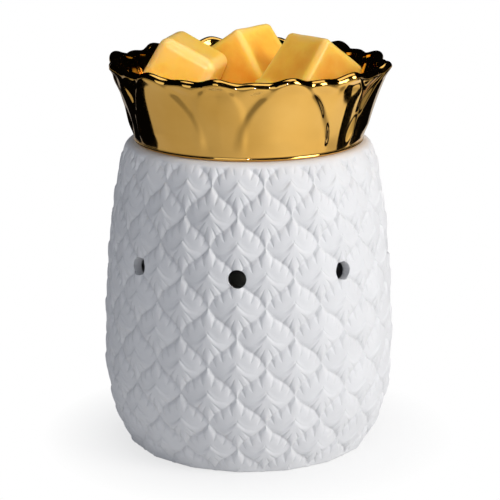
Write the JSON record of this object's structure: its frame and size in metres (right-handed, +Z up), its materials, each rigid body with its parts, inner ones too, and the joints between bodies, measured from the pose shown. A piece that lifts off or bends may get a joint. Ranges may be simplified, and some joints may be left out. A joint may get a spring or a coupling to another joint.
{
  "type": "wax melt warmer",
  "caption": "Pineapple-shaped electric wax warmer: scaled white ceramic body with vents, lift-off gold petal dish with wax melts, and a twist-lock lamp inside.",
  "frame": {"origin": "on the tabletop under the body's axis", "axes": "+Z up along the body's axis, -Y to the front vent, +Y to the cord gland"},
  "size_m": [0.117, 0.117, 0.1653],
  "materials": {
    "bisque": "unglazed white bisque, matte",
    "gilt": "mirror gold lustre over glaze",
    "wax": "translucent scented wax, stood in for by a soft plastic",
    "reflector": "aluminised glass",
    "lamp_glass": "clear flat glass",
    "quartz": "clear quartz",
    "steatite": "fired steatite, matte",
    "brass_pins": "plain",
    "tungsten": "drawn wire",
    "bronze": "spring bronze",
    "zinc_screws": "zinc plated",
    "sheet_steel": "zinc plated sheet",
    "gasket": "soft foam",
    "foot_rubber": "matte",
    "gland_rubber": "matte white",
    "lead_brown": "silicone insulation",
    "lead_white": "silicone insulation",
    "nylon": "heat-proof nylon"
  },
  "bodies": {
    "warmer": {"body_shell": "bisque", "holder_block": "steatite", "holder_cover": "steatite", "holder_contacts": "bronze", "holder_screws": "zinc_screws", "holder_nuts": "zinc_screws", "bridge_bracket": "sheet_steel", "clamp_screws": "zinc_screws", "clamp_nuts": "zinc_screws", "base_plate": "sheet_steel", "base_gasket": "gasket", "rubber_feet": "foot_rubber", "cord_gland": "gland_rubber", "lead_line": "lead_brown", "lead_neutral": "lead_white", "splice_caps": "nylon"},
    "dish": {"wax_dish": "gilt"},
    "melt_left": {"wax_melt_left": "wax"},
    "melt_rear": {"wax_melt_rear": "wax"},
    "melt_right": {"wax_melt_right": "wax"},
    "lamp": {"lamp_reflector": "reflector", "lamp_lens": "lamp_glass", "lamp_cap": "steatite", "lamp_pins": "brass_pins", "lamp_capsule": "quartz", "lamp_filament": "tungsten"}
  },
  "joints": [
    {"name": "dish_lift", "type": "slide", "parent": "warmer", "child": "dish", "axis": [0, 0, 1], "range_m": [0, 0.12]},
    {"name": "melt_left_lift", "type": "slide", "parent": "dish", "child": "melt_left", "axis": [0, 0, 1], "range_m": [0, 0.06]},
    {"name": "melt_rear_lift", "type": "slide", "parent": "dish", "child": "melt_rear", "axis": [0, 0, 1], "range_m": [0, 0.06]},
    {"name": "melt_right_lift", "type": "slide", "parent": "dish", "child": "melt_right", "axis": [0, 0, 1], "range_m": [0, 0.06]},
    {"name": "lamp_twist", "type": "hinge", "parent": "warmer", "child": "lamp", "pos_m": [0, 0, 0.0562], "axis": [0, 0, 1], "range_deg": [0, 30]}
  ]
}
